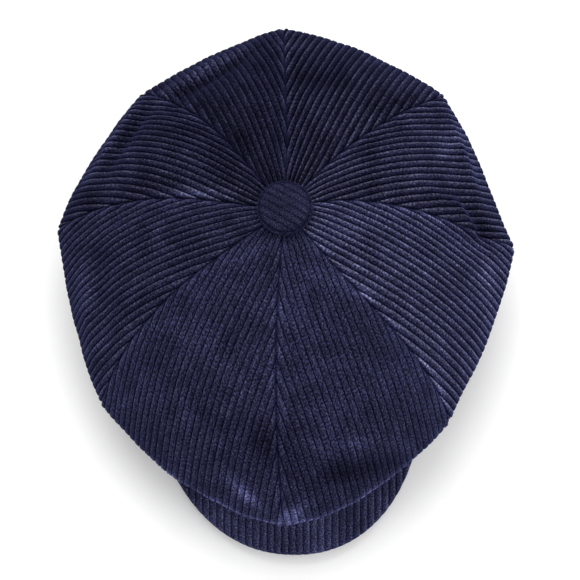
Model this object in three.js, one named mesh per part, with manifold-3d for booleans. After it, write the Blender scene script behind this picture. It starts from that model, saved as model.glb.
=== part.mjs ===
// An eight-panel newsboy cap in corduroy, in millimetres.
// +Z is up, the brim points along -Y, and the origin is the middle of the head opening,
// in the plane that the cap rests on. Left and right are the wearer's: +X is left.
// The crown is eight cloth gores over eight lining gores, turned under at a soft fold
// and sewn to a headband. The brim is a board between two cloths, and a covered button
// on a wire shank closes the top.

import * as THREE from 'three';
import Module from 'manifold-3d';
import { mergeVertices } from 'three/addons/utils/BufferGeometryUtils.js';

const wasm = await Module();
wasm.setup();

// Clearance that two sewn or nested pieces keep
const gap = 0.3;

// Head opening, an ellipse inside the sweatband: 573 mm round, a size 57
const openingHalfLength = 99;
const openingHalfWidth = 83;

// Cloth and stiffener thicknesses
const corduroy = 1.6;
const liningCloth = 0.7;
const liningSpace = 0.5;
const sweatbandThickness = 1.2;
const bandStiffenerThickness = 0.6;
const labelThickness = 0.5;

// Headband, a standing ring of corduroy, stiffener and sweatband
const bandHeight = 30;
const bandSegments = 48;
const stiffenerBottom = 2;
const stiffenerTop = 28;
const sweatbandBottom = 0.6;
const sweatbandTop = 34.5;
const bandStack = sweatbandThickness + bandStiffenerThickness + corduroy + 2 * gap;
const bandOuterHalfLength = openingHalfLength + bandStack;
const bandOuterHalfWidth = openingHalfWidth + bandStack;

// Crown: the apex under the button, and where each seam turns over the fold.
// The list runs anticlockwise from the back, seen from above. The cap lies relaxed,
// so its two sides aren't quite alike.
const apexForward = 22;
const apexHeight = 105;
// Each seam bends by `sway` on its way out, anticlockwise above zero, and most at `swayAt`
// of the way: the side seams bend towards the back.
const foldCorners = [
  { x: -1, y: 141, z: 62, sway: -1.5, swayAt: 0.4 },
  { x: -83, y: 103, z: 58, sway: -8, swayAt: 0.6 },
  { x: -132.5, y: 24, z: 50, sway: -9.5, swayAt: 0.6 },
  { x: -106, y: -77, z: 42, sway: -11, swayAt: 0.6 },
  { x: -1, y: -149, z: 38, sway: -4.5, swayAt: 0.5 },
  { x: 94.5, y: -87, z: 42, sway: 4.5, swayAt: 0.75 },
  { x: 132.5, y: 13, z: 50, sway: 10, swayAt: 0.4 },
  { x: 93, y: 101, z: 58, sway: 6.5, swayAt: 0.5 },
];
// Each gore lies between one corner and the next, and its fold bows out past the chord
const gores = [
  { name: 'back_right', bow: 3.5 },
  { name: 'right_back', bow: 5.5 },
  { name: 'right_front', bow: 3.5 },
  { name: 'front_right', bow: 10 },
  { name: 'front_left', bow: 9 },
  { name: 'left_front', bow: 5 },
  { name: 'left_back', bow: 2 },
  { name: 'back_left', bow: 6 },
];
const crownHole = 3.4;
const domeSpread = 1.6;
const domeShoulder = 1.45;
// Between its seams each gore puffs up, most at `puffAt` of the way out
const gorePuff = 5.5;
const puffAt = 0.6;
const goreColumns = 6;
const topRows = 8;
const underRows = 4;

// Lining: it hangs lower around the apex, to clear the button's thread
const liningHole = 0.8;
const liningSag = 5;
const liningSagReach = 22;
const typicalReach = 130;

// Labels, each whole mesh cells of the surface it is sewn to
const makerLabel = { gore: 0, columns: [2, 4], rows: [4, 5] };
const sizeLabel = { segments: [11, 14], bottom: 8, top: 24 };

// Brim: a crescent board, its outline a superellipse, arched across and dipping to the front
const brimHalfAngle = THREE.MathUtils.degToRad(60);
const brimRootClearance = 1.2;
const brimHalfWidth = 82;
const brimLength = 115.5;
const brimBackY = -46;
const brimRoundness = 2.15;
const brimLean = 5.5;
const brimSideHeight = 6.5;
const brimArch = 6;
const brimDip = 3;
const brimBoardThickness = 1.8;
const brimColumns = 20;
const brimRows = 4;
const brimEdgeRows = 3;

// Covered button: shell and back plate inside a cloth cover, on a wire eye
const buttonRadius = 15.6;
const buttonBottom = apexHeight + 0.5;
const buttonHeight = 8.2;
const buttonMiddle = buttonBottom + 0.4 * buttonHeight;
const buttonCloth = 1.1;
const shellThickness = 0.7;
const shellSkirt = 0.6;
const coverLipRadius = 10.5;
const backPlateRadius = 12.6;
const backPlateThickness = 0.8;
const shankWireRadius = 0.6;
const shankHalfSpan = 2;
const shankFootLength = 1.7;
const shankBend = 0.9;
const shankEyeCentre = apexHeight - 0.4;
const threadLoopRadius = 2.2;
const threadRadius = 0.45;
const threadLoopCentre = apexHeight - 3.3;
const knotHeight = 1;
const patchRadius = 12;
const patchThickness = 1;
const patchDepth = corduroy + 1.2;
const roundSegments = 24;

const navyCorduroy = new THREE.MeshStandardMaterial({ color: 0x26283d, roughness: 0.95, metalness: 0 });
const liningSatin = new THREE.MeshStandardMaterial({ color: 0x15161f, roughness: 0.5, metalness: 0 });
const sweatbandCloth = new THREE.MeshStandardMaterial({ color: 0x1a1b26, roughness: 0.85, metalness: 0 });
const stiffenerFelt = new THREE.MeshStandardMaterial({ color: 0xd8d6cc, roughness: 0.9, metalness: 0 });
const boardPlastic = new THREE.MeshStandardMaterial({ color: 0xe4e4e0, roughness: 0.5, metalness: 0 });
const labelCloth = new THREE.MeshStandardMaterial({ color: 0xc9c4b4, roughness: 0.8, metalness: 0 });
const buttonSteel = new THREE.MeshStandardMaterial({ color: 0x9a9da1, roughness: 0.35, metalness: 1 });
const sewingThread = new THREE.MeshStandardMaterial({ color: 0x1b1c2c, roughness: 0.8, metalness: 0 });

const cap = new THREE.Group();

function addPiece(name, geometry, material) {
  const piece = new THREE.Mesh(geometry, material);
  piece.name = name;
  cap.add(piece);
}

// ---- Sheets and rings ----

// A closed solid between two grids of points, each a list of rows from outerAt and innerAt.
// Seen from outside, columns run to the right of the direction that the rows run in.
function sheetSolid(rows, columns, outerAt, innerAt) {
  const positions = [];
  const triangles = [];
  const stride = columns + 1;
  const layer = (rows + 1) * stride;
  for (const pointAt of [outerAt, innerAt]) {
    for (let row = 0; row <= rows; row++) {
      for (let column = 0; column <= columns; column++) {
        positions.push(...pointAt(row, column).toArray());
      }
    }
  }
  for (let row = 0; row < rows; row++) {
    for (let column = 0; column < columns; column++) {
      const corner = row * stride + column;
      const outer = [corner, corner + 1, corner + stride + 1, corner + stride];
      triangles.push(outer[0], outer[2], outer[1], outer[0], outer[3], outer[2]);
      const inner = outer.map((index) => index + layer);
      triangles.push(inner[0], inner[1], inner[2], inner[0], inner[2], inner[3]);
    }
  }
  for (const [from, to] of rimEdges(rows, columns)) {
    triangles.push(from, to, to + layer, from, to + layer, from + layer);
  }
  const geometry = new THREE.BufferGeometry();
  geometry.setAttribute('position', new THREE.Float32BufferAttribute(positions, 3));
  geometry.setIndex(triangles);
  return geometry;
}

// The grid's border as pairs of neighbouring points, all the way round
function rimEdges(rows, columns) {
  const stride = columns + 1;
  const edges = [];
  for (let column = 0; column < columns; column++) {
    edges.push([column, column + 1]);
    edges.push([rows * stride + column + 1, rows * stride + column]);
  }
  for (let row = 0; row < rows; row++) {
    edges.push([(row + 1) * stride, row * stride]);
    edges.push([row * stride + columns, (row + 1) * stride + columns]);
  }
  return edges;
}

// A point on an ellipse round the head, at an angle from +X
function ellipsePoint(halfWidth, halfLength, angle, z) {
  return new THREE.Vector3(halfWidth * Math.cos(angle), halfLength * Math.sin(angle), z);
}

// An upright elliptical ring of cloth, measured at its outer face
function ringSolid(halfWidth, halfLength, thickness, bottom, top) {
  const outline = new THREE.Shape();
  outline.absellipse(0, 0, halfWidth, halfLength, 0, 2 * Math.PI);
  const hole = new THREE.Path();
  hole.absellipse(0, 0, halfWidth - thickness, halfLength - thickness, 0, 2 * Math.PI);
  outline.holes.push(hole);
  const ring = new THREE.ExtrudeGeometry(outline, {
    depth: top - bottom,
    bevelEnabled: false,
    curveSegments: bandSegments / 2,
  });
  ring.translate(0, 0, bottom);
  return ring;
}

// ---- Crown ----

const apex = new THREE.Vector3(0, apexForward, apexHeight);
const bandTopHalfWidth = bandOuterHalfWidth - corduroy;
const bandTopHalfLength = bandOuterHalfLength - corduroy;
const bandTopHeight = bandHeight + gap;

// The angle on the band's ellipse where a fold corner's seam comes down
function bandAngle(corner) {
  return Math.atan2(corner.y / bandTopHalfLength, corner.x / bandTopHalfWidth);
}

// The fold's outermost point on gore `index`, `across` from 0 at its first seam to 1
function foldPoint(index, across) {
  const first = foldCorners[index];
  const second = foldCorners[(index + 1) % foldCorners.length];
  const chord = new THREE.Vector2(second.x - first.x, second.y - first.y).normalize();
  const bow = gores[index].bow * 4 * across * (1 - across);
  return new THREE.Vector3(
    THREE.MathUtils.lerp(first.x, second.x, across) + bow * chord.y,
    THREE.MathUtils.lerp(first.y, second.y, across) - bow * chord.x,
    THREE.MathUtils.lerp(first.z, second.z, across),
  );
}

// How far a seam has swayed sideways, in plan, `out` of the way from the apex to its corner
function seamSway(corner, out) {
  const { sway, swayAt } = corner;
  const sharpness = 1 / Math.min(swayAt, 1 - swayAt);
  const rise = (out / swayAt) ** (sharpness * swayAt);
  const fall = (Math.max(1 - out, 0) / (1 - swayAt)) ** (sharpness * (1 - swayAt));
  const sideways = new THREE.Vector2(apex.y - corner.y, corner.x - apex.x).normalize();
  return sideways.multiplyScalar(sway * rise * fall);
}

// The band's top edge below the same place
function bandPoint(index, across) {
  const start = bandAngle(foldCorners[index]);
  let end = bandAngle(foldCorners[(index + 1) % foldCorners.length]);
  if (end < start) end += 2 * Math.PI;
  return ellipsePoint(
    bandTopHalfWidth, bandTopHalfLength, THREE.MathUtils.lerp(start, end, across), bandTopHeight,
  );
}

// The crown's outer face. `along` runs from 0 at the hole to 1 at the fold, and on to 2 at the band.
function crownPoint(index, across, along, hole) {
  const fold = foldPoint(index, across);
  const reach = new THREE.Vector2(fold.x - apex.x, fold.y - apex.y);
  if (along <= 1) {
    const start = Math.asin((hole / reach.length()) ** (domeSpread / 2));
    const turn = THREE.MathUtils.lerp(start, Math.PI / 2, along);
    const out = Math.sin(turn) ** (2 / domeSpread);
    const up = Math.max(Math.cos(turn), 0) ** (2 / domeShoulder);
    const puffTurn = Math.PI * out ** (Math.log(0.5) / Math.log(puffAt));
    const puff = gorePuff * 4 * across * (1 - across) * Math.sin(puffTurn);
    const first = seamSway(foldCorners[index], out);
    const second = seamSway(foldCorners[(index + 1) % foldCorners.length], out);
    const sway = first.lerp(second, across);
    return new THREE.Vector3(
      apex.x + reach.x * out + sway.x,
      apex.y + reach.y * out + sway.y,
      fold.z + (apexHeight - fold.z) * up + puff,
    );
  }
  const band = bandPoint(index, across);
  const turn = (along - 1) * Math.PI / 2;
  const inward = 1 - Math.cos(turn);
  return new THREE.Vector3(
    THREE.MathUtils.lerp(fold.x, band.x, inward),
    THREE.MathUtils.lerp(fold.y, band.y, inward),
    THREE.MathUtils.lerp(fold.z, band.z, Math.sin(turn)),
  );
}

// The crown's outward direction, the same for both gores at a shared seam
function crownNormal(index, across, along, hole) {
  const step = 0.02;
  const before = crownPoint(index, across, Math.max(along - step, 0), hole);
  const after = crownPoint(index, across, Math.min(along + step, 2), hole);
  const fold = foldPoint(index, across);
  const sideways = new THREE.Vector3(apex.y - fold.y, fold.x - apex.x, 0);
  return after.sub(before).cross(sideways).normalize();
}

// A point `depth` inside the crown's outer face, kept half a gap away from both seams
function crownLayerPoint(index, column, along, depth, hole) {
  const seam = crownPoint(index, 0, along, hole);
  const width = seam.distanceTo(crownPoint(index, 1, along, hole));
  const margin = gap / 2 / width;
  const across = margin + (1 - 2 * margin) * column / goreColumns;
  const normal = crownNormal(index, across, along, hole);
  return crownPoint(index, across, along, hole).addScaledVector(normal, -depth);
}

// How far along the crown a mesh row lies
function alongAtRow(row) {
  return row <= topRows ? row / topRows : 1 + (row - topRows) / underRows;
}

// Depth of the lining's outer face, which sags round the apex
function liningDepth(along) {
  if (along > 1) return corduroy + liningSpace;
  const distance = typicalReach * Math.sin(along * Math.PI / 2) ** (2 / domeSpread);
  return corduroy + liningSpace + liningSag * Math.exp(-((distance / liningSagReach) ** 2));
}

function clothGore(index) {
  const layer = (depth) => (row, column) => (
    crownLayerPoint(index, column, alongAtRow(row), depth, crownHole)
  );
  return sheetSolid(topRows + underRows, goreColumns, layer(0), layer(corduroy));
}

function liningGore(index) {
  const layer = (extra) => (row, column) => {
    const along = alongAtRow(row);
    return crownLayerPoint(index, column, along, liningDepth(along) + extra, liningHole);
  };
  return sheetSolid(topRows + underRows, goreColumns, layer(0), layer(liningCloth));
}

// A blank woven label on the inner face of one lining gore
function makerLabelPiece() {
  const [firstColumn, lastColumn] = makerLabel.columns;
  const [firstRow, lastRow] = makerLabel.rows;
  const layer = (extra) => (row, column) => {
    const along = alongAtRow(firstRow + row);
    const depth = liningDepth(along) + liningCloth + gap + extra;
    return crownLayerPoint(makerLabel.gore, firstColumn + column, along, depth, liningHole);
  };
  return sheetSolid(lastRow - firstRow, lastColumn - firstColumn, layer(0), layer(labelThickness));
}

gores.forEach((gore, index) => {
  addPiece(`gore_${gore.name}`, clothGore(index), navyCorduroy);
  addPiece(`lining_${gore.name}`, liningGore(index), liningSatin);
});
addPiece('maker_label_blank', makerLabelPiece(), labelCloth);

// ---- Headband ----

// A blank size label on the sweatband's inner face, at the back
function sizeLabelPiece() {
  const [first, last] = sizeLabel.segments;
  const columns = last - first;
  const layer = (inset) => (row, column) => ellipsePoint(
    openingHalfWidth - inset,
    openingHalfLength - inset,
    2 * Math.PI * (first + column) / bandSegments,
    THREE.MathUtils.lerp(sizeLabel.bottom, sizeLabel.top, row),
  );
  return sheetSolid(1, columns, layer(gap + labelThickness), layer(gap));
}

const stiffenerInset = corduroy + gap;
const sweatbandInset = stiffenerInset + bandStiffenerThickness + gap;
addPiece(
  'headband',
  ringSolid(bandOuterHalfWidth, bandOuterHalfLength, corduroy, 0, bandHeight),
  navyCorduroy,
);
addPiece(
  'band_stiffener',
  ringSolid(
    bandOuterHalfWidth - stiffenerInset, bandOuterHalfLength - stiffenerInset,
    bandStiffenerThickness, stiffenerBottom, stiffenerTop,
  ),
  stiffenerFelt,
);
addPiece(
  'sweatband',
  ringSolid(
    bandOuterHalfWidth - sweatbandInset, bandOuterHalfLength - sweatbandInset,
    sweatbandThickness, sweatbandBottom, sweatbandTop,
  ),
  sweatbandCloth,
);
addPiece('size_label_blank', sizeLabelPiece(), labelCloth);

// ---- Brim ----

// The brim's middle surface. `across` runs from -1 to 1, and `out` from 0 at the band to 1 at the edge.
function brimPoint(across, out) {
  const rootAngle = across * brimHalfAngle;
  const root = new THREE.Vector2(
    (bandOuterHalfWidth + brimRootClearance) * Math.sin(rootAngle),
    -(bandOuterHalfLength + brimRootClearance) * Math.cos(rootAngle),
  );
  const edgeAngle = Math.abs(across) * Math.PI / 2;
  const forward = Math.max(Math.cos(edgeAngle), 0) ** (2 / brimRoundness);
  const edge = new THREE.Vector2(
    Math.sign(across) * brimHalfWidth * Math.sin(edgeAngle) ** (2 / brimRoundness) + brimLean * forward,
    brimBackY - brimLength * forward,
  );
  const place = root.lerp(edge, out);
  const arch = brimArch * Math.max(1 - (place.x / brimHalfWidth) ** 2, 0);
  return new THREE.Vector3(place.x, place.y, brimSideHeight + arch - brimDip * out ** 2);
}

// The brim's edge direction in plan, pointing away from the cap
function brimOutward(across) {
  const step = 0.01;
  const before = brimPoint(Math.max(across - step, -1), 1);
  const after = brimPoint(Math.min(across + step, 1), 1);
  return new THREE.Vector3(after.y - before.y, before.x - after.x, 0).normalize();
}

const edgeInset = corduroy + gap;

// The board's plan, inside the cloth's edge by the cloth's own thickness
function boardPoint(across, out) {
  const point = brimPoint(across, out);
  return point.addScaledVector(brimOutward(across), -edgeInset * out);
}

function brimAcross(column) {
  return -1 + 2 * column / brimColumns;
}

function brimBoard() {
  const half = brimBoardThickness / 2;
  const layer = (height) => (row, column) => {
    const point = boardPoint(brimAcross(column), row / brimRows);
    point.z += height;
    return point;
  };
  return sheetSolid(brimRows, brimColumns, layer(half), layer(-half));
}

// A brim cloth lies on one side of the board and turns over its edge to the middle.
// `side` is 1 for the top and -1 for the underside.
function brimCloth(side) {
  const half = brimBoardThickness / 2 + gap;
  const rows = brimRows + brimEdgeRows;
  const layer = (thickness) => (row, column) => {
    const across = brimAcross(column);
    const out = Math.min(row / brimRows, 1);
    const point = boardPoint(across, out);
    const turn = Math.max(row - brimRows, 0) / brimEdgeRows * Math.PI / 2;
    const sideways = (gap + thickness) * Math.sin(turn);
    const height = (half + thickness - gap / 2) * Math.cos(turn) + gap / 2;
    point.addScaledVector(brimOutward(across), sideways);
    point.z += side * height;
    return point;
  };
  const faces = [layer(corduroy), layer(0)];
  if (side < 0) faces.reverse();
  return sheetSolid(rows, brimColumns, ...faces);
}

addPiece('brim_board', brimBoard(), boardPlastic);
addPiece('brim_top_cloth', brimCloth(1), navyCorduroy);
addPiece('brim_under_cloth', brimCloth(-1), navyCorduroy);

// ---- Button ----

function lathe(profile) {
  const geometry = new THREE.LatheGeometry(profile, roundSegments);
  geometry.rotateX(Math.PI / 2);
  geometry.translate(apex.x, apex.y, 0);
  return geometry;
}

// A domed face from the axis out to the rim, and on round the underside as far as `lowestTurn`,
// everywhere `inset` inside the button's outside
function domeCurve(inset, lowestTurn) {
  const points = [];
  const steps = 8;
  for (let step = 0; step <= steps; step++) {
    const turn = THREE.MathUtils.lerp(Math.PI / 2, lowestTurn, step / steps);
    const rise = turn < 0 ? buttonMiddle - buttonBottom : buttonBottom + buttonHeight - buttonMiddle;
    const radius = turn < 0
      ? THREE.MathUtils.lerp(coverLipRadius, buttonRadius, Math.cos(turn) ** 0.6)
      : buttonRadius * Math.cos(turn) ** 0.8;
    const inner = step === 0 ? 0 : radius - inset * Math.cos(turn);
    points.push(new THREE.Vector2(inner, buttonMiddle + (rise - inset) * Math.sin(turn)));
  }
  return points;
}

function buttonCover() {
  const underside = -Math.PI / 2;
  return lathe([...domeCurve(buttonCloth, underside), ...domeCurve(0, underside).reverse()]);
}

// The shell is a dome with a short straight skirt
function buttonShell() {
  const walls = [buttonCloth + gap + shellThickness, buttonCloth + gap].map((inset) => [
    ...domeCurve(inset, 0),
    new THREE.Vector2(buttonRadius - inset, buttonMiddle - shellSkirt),
  ]);
  return lathe([...walls[0], ...walls[1].reverse()]);
}

function asManifold(geometry) {
  const bare = geometry.clone();
  bare.deleteAttribute('normal');
  bare.deleteAttribute('uv');
  const merged = mergeVertices(bare, 1e-4);
  return new wasm.Manifold(new wasm.Mesh({
    numProp: 3,
    vertProperties: new Float32Array(merged.attributes.position.array),
    triVerts: new Uint32Array(merged.index.array),
  }));
}

function asGeometry(manifold) {
  const mesh = manifold.getMesh();
  const geometry = new THREE.BufferGeometry();
  geometry.setAttribute('position', new THREE.Float32BufferAttribute(mesh.vertProperties, 3));
  geometry.setIndex(Array.from(mesh.triVerts));
  return geometry;
}

function disc(radius, bottom, thickness) {
  const geometry = new THREE.CylinderGeometry(radius, radius, thickness, roundSegments);
  geometry.rotateX(Math.PI / 2);
  geometry.translate(apex.x, apex.y, bottom + thickness / 2);
  return geometry;
}

const plateBottom = buttonBottom + buttonCloth + gap;
const plateTop = plateBottom + backPlateThickness;

// The back plate has two holes for the legs of the wire eye
function backPlate() {
  let plate = asManifold(disc(backPlateRadius, plateBottom, backPlateThickness));
  for (const side of [-1, 1]) {
    const hole = disc(shankWireRadius + gap, plateBottom - 1, backPlateThickness + 2);
    hole.translate(side * shankHalfSpan, 0, 0);
    plate = plate.subtract(asManifold(hole));
  }
  return asGeometry(plate);
}

// A wire whose ends lie bent over on the plate and whose middle hangs below it as an eye
function shankWire() {
  const endHeight = plateTop + gap + shankWireRadius;
  const points = [
    new THREE.Vector3(-shankHalfSpan - shankBend - shankFootLength, 0, endHeight),
    new THREE.Vector3(-shankHalfSpan - shankBend, 0, endHeight),
    new THREE.Vector3(-shankHalfSpan, 0, endHeight - shankBend),
    new THREE.Vector3(-shankHalfSpan, 0, shankEyeCentre),
    new THREE.Vector3(-shankHalfSpan * Math.SQRT1_2, 0, shankEyeCentre - shankHalfSpan * Math.SQRT1_2),
    new THREE.Vector3(0, 0, shankEyeCentre - shankHalfSpan),
  ];
  const mirrored = points.slice(0, -1).reverse().map((point) => new THREE.Vector3(-point.x, 0, point.z));
  const path = new THREE.CatmullRomCurve3([...points, ...mirrored]);
  const section = new THREE.Shape();
  section.absarc(0, 0, shankWireRadius, 0, 2 * Math.PI);
  const wire = new THREE.ExtrudeGeometry(section, {
    steps: 32, curveSegments: 4, bevelEnabled: false, extrudePath: path,
  });
  wire.translate(apex.x, apex.y, 0);
  return wire;
}

// The thread's loop hangs in the wire eye and ends in a knot below the patch
function buttonThread() {
  const loop = new THREE.TorusGeometry(threadLoopRadius, threadRadius, 6, 20);
  loop.rotateY(Math.PI / 2);
  loop.translate(apex.x, apex.y, threadLoopCentre);
  const knot = new THREE.SphereGeometry(1, 16, 8);
  knot.scale(threadLoopRadius + threadRadius, threadLoopRadius + threadRadius, knotHeight);
  knot.translate(apex.x, apex.y, threadLoopCentre - threadLoopRadius);
  return asGeometry(asManifold(loop).add(asManifold(knot)));
}

// A washer of stiff cloth under the gores' points
function apexPatch() {
  const top = apexHeight - patchDepth;
  const outer = asManifold(disc(patchRadius, top - patchThickness, patchThickness));
  const hole = asManifold(disc(crownHole, top - patchThickness - 1, patchThickness + 2));
  return asGeometry(outer.subtract(hole));
}

addPiece('button_cover', buttonCover(), navyCorduroy);
addPiece('button_shell', buttonShell(), buttonSteel);
addPiece('button_back_plate', backPlate(), buttonSteel);
addPiece('button_shank', shankWire(), buttonSteel);
addPiece('button_thread', buttonThread(), sewingThread);
addPiece('apex_patch', apexPatch(), stiffenerFelt);

export default cap;
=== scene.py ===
"""The looks of a navy corduroy newsboy cap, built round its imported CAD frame."""
import math

import bpy
import numpy as np
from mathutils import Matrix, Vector


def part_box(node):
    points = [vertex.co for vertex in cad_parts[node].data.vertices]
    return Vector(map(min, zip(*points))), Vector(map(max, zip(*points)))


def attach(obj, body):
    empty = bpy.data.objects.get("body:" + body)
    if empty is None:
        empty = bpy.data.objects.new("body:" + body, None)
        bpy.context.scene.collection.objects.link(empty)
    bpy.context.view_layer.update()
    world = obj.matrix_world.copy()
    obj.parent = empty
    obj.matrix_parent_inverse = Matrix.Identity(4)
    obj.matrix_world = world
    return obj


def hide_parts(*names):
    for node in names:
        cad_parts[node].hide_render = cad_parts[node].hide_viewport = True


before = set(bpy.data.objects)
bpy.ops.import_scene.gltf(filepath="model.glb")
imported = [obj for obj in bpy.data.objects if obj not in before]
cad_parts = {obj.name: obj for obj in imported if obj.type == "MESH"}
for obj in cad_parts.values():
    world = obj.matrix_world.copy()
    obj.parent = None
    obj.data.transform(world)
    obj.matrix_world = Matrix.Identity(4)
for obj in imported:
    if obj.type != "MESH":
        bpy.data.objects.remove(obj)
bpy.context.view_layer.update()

MM = 0.001

# ---- The cap's driving dimensions, in millimetres, as in the CAD model ----

BAND_HIGH = np.array(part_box("headband")[1]) / MM
BUTTON_LOW, BUTTON_HIGH = (np.array(corner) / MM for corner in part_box("button_cover"))
BAND_HALF_WIDTH, BAND_HALF_LENGTH, BAND_HEIGHT = BAND_HIGH
CLOTH = 1.6
GAP = 0.3
APEX = np.array([0.0, (BUTTON_LOW[1] + BUTTON_HIGH[1]) / 2, BUTTON_LOW[2] - 0.5])
FOLD_CORNERS = np.array([
    (-1, 141, 62), (-83, 103, 58), (-132.5, 24, 50), (-106, -77, 42),
    (-1, -149, 38), (94.5, -87, 42), (132.5, 13, 50), (93, 101, 58),
], float)
# Each seam's sideways bend, anticlockwise above zero, and where on its way out it is most
SEAM_SWAYS = (
    (-1.5, 0.4), (-8, 0.6), (-9.5, 0.6), (-11, 0.6), (-4.5, 0.5), (4.5, 0.75), (10, 0.4), (6.5, 0.5),
)
# Each gore's name, how far its fold bows out past the chord, how bright its pile is, and how
# strongly one flank of each wale is painted lit and the other painted shaded: below zero the lit
# flank faces its first seam and above zero its second
GORES = (
    ("back_right", 3.5, 0.18, -0.4), ("right_back", 5.5, 0.24, -0.65),
    ("right_front", 3.5, 0.43, -0.45), ("front_right", 10.0, 0.50, -0.2),
    ("front_left", 9.0, 0.54, 0.1), ("left_front", 5.0, 0.68, 0.7),
    ("left_back", 2.0, 0.37, 0.8), ("back_left", 6.0, 0.20, 0.75),
)
DOME_SPREAD = 1.6
DOME_SHOULDER = 1.45
CROWN_START = 1.2
GORE_PUFF = 5.5
PUFF_AT = 0.6
LINING_SAG = 5
LINING_SAG_REACH = 22
TYPICAL_REACH = 130

BRIM_HALF_ANGLE = math.radians(60)
BRIM_HALF_WIDTH = 82
BRIM_LENGTH = 115.5
BRIM_BACK_Y = -46
BRIM_ROUNDNESS = 2.15
BRIM_LEAN = 5.5
BRIM_SIDE_HEIGHT = 6.5
BRIM_ARCH = 6
BRIM_DIP = 3
BRIM_HALF_STACK = 0.9 + GAP + CLOTH

# ---- Corduroy ----

WALE_PITCH = 4.2
WALE_HEIGHT = 0.72
POINTS_PER_WALE = 12
# At 2 a wale's section would be half an ellipse, and above that its top is flatter
WALE_SQUARENESS = 2.8
# Painted shade in the grooves: the pile is fully dark this far from a wale's crown and fades to
# that over this far, in pitches
GROOVE_SHADE_EDGE = 0.52
GROOVE_SHADE_SOFTNESS = 0.16
# Tone on a wale's crown, and how strongly painted light brightens one flank and painted shade
# dulls the other
CREST_TONE = 0.36
FLANK_LIGHT_CONTRAST = 3.0
# Near the button the gore's cloth is gathered: extra half width, and how soon it eases away
GATHER = 7
GATHER_REACH = 28

# ---- The relaxed crown ----

# Each gore swells between its seams, the cloth is bunched round the button, and the fold is soft
PILLOW_SWELL = 2.2
COLLAR_SWELL = 1.6
COLLAR_RADIUS = 25
COLLAR_WIDTH = 9
FOLD_SWELL = 0.6
# Slow and quick unevenness: height, spacing and seed
UNEVENNESS = ((1.3, 34, 5), (0.5, 13, 6))

# Soft dents (below zero) and swells (above), each an oval spot:
# x, y, long radius, short radius, direction in degrees, height
DENTS = (
    (20, 108, 24, 9, 62, -3.6),
    (5, 92, 10, 6, 20, 1.2),
    (-47, 112, 30, 4, 30, 3.2),
    (-45, 104, 28, 4, 30, -2.2),
    (-98, 74, 28, 4, 58, 2.8),
    (-90, 71, 26, 4, 58, -2.0),
    (113, 14, 13, 7, 35, -3.2),
    (102, 25, 17, 3, -49, 3.0),
    (107, 29, 17, 3.5, -49, -2.8),
    (86, 33, 10, 3, -40, 2.0),
    (91, 38, 10, 3, -40, -1.8),
    (102, 62, 28, 3.5, -70, 1.8),
    (107, 64, 28, 4, -70, -1.0),
    (96, 30, 16, 7, 10, 1.2),
    (-112, -30, 30, 5, 100, 1.8),
    (-103, -28, 34, 6, 98, -1.6),
    (43, -118, 24, 6, 12, -1.6),
    (37, -105, 24, 6, 8, 0.8),
    (-14, -136, 12, 5, 20, 1.6),
    (-30, -126, 14, 5, 30, -1.4),
    (14, -138, 10, 4, -25, 1.2),
    (60, 60, 34, 22, 45, 1.8),
    (-62, 52, 36, 24, 140, 1.6),
    (-50, -55, 60, 26, 65, 2.0),
    (52, -60, 60, 26, -68, 2.0),
)

# Spots of painted light on the pile, in the same form, but for the last value, which is a change of
# the pile's brightness: painted highlights (above zero) on fold ridges, crumples and edges seen
# edge-on, painted shade (below zero) in dents and folds, and a few brushed places in the pile
RUBS_AND_PAINTED_LIGHT = (
    (-24, -130, 12, 4.5, 140, 0.60),
    (5, -142, 10, 4, 35, 0.46),
    (37, -105, 22, 4, 8, 0.28),
    (43, -118, 22, 6, 12, -0.35),
    (-8, -103, 20, 12, 0, -0.22),
    (0, -87, 3, 8, 0, 0.30),
    (-53, -92, 7, 5, 0, 0.20),
    (-70, -57, 16, 8, 20, -0.15),
    (-25, -6, 13, 5, 10, 0.26),
    (20, -15, 18, 5, -15, 0.18),
    (31, 13, 16, 8, -10, 0.06),
    (-50, 33, 17, 3, -3, 0.55),
    (-28, 66, 20, 10, -20, -0.12),
    (23, 103, 16, 6, -5, -0.30),
    (72, 94, 10, 5, 20, -0.25),
    (-46, 113, 28, 3.5, 30, 0.45),
    (-44, 103, 26, 3, 30, -0.12),
    (-99, 75, 26, 3.5, 58, 0.42),
    (95, 68, 4, 16, -30, 0.35),
    (113, 18, 7, 12, 20, -0.45),
    (108, 62, 26, 4, -70, 0.30),
    (118, -14, 5, 18, 0, 0.16),
    (-114, -18, 4, 18, 0, 0.22),
)


def noise2(x, y, seed):
    """Smooth noise from -1 to 1 on a lattice with a spacing of 1."""
    table = np.random.default_rng(seed).uniform(-1, 1, (64, 64))
    column, row = np.floor(x).astype(int), np.floor(y).astype(int)
    fx, fy = x - column, y - row
    fx, fy = fx * fx * (3 - 2 * fx), fy * fy * (3 - 2 * fy)
    near = table[row % 64, column % 64] * (1 - fx) + table[row % 64, (column + 1) % 64] * fx
    far = table[(row + 1) % 64, column % 64] * (1 - fx) + table[(row + 1) % 64, (column + 1) % 64] * fx
    return near * (1 - fy) + far * fy


def lerp(a, b, share):
    return a + (b - a) * share


def unit(vectors):
    return vectors / np.maximum(np.linalg.norm(vectors, axis=-1, keepdims=True), 1e-9)


def bell(distance, width):
    """1 at no distance, falling softly to nothing some widths away."""
    return np.exp(-(distance / width) ** 2)


def smooth_step(value):
    """0 below zero and 1 above one, with a soft rise between."""
    share = np.clip(value, 0, 1)
    return share * share * (3 - 2 * share)


def wale_profile(across_mm, pitch=WALE_PITCH):
    """0 in a groove to 1 on a wale's crown: a round cord with a narrow groove beside it."""
    from_crown = np.abs(across_mm / pitch - np.round(across_mm / pitch)) * 2
    return np.sqrt(np.maximum(1 - from_crown ** WALE_SQUARENESS, 0))


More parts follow.
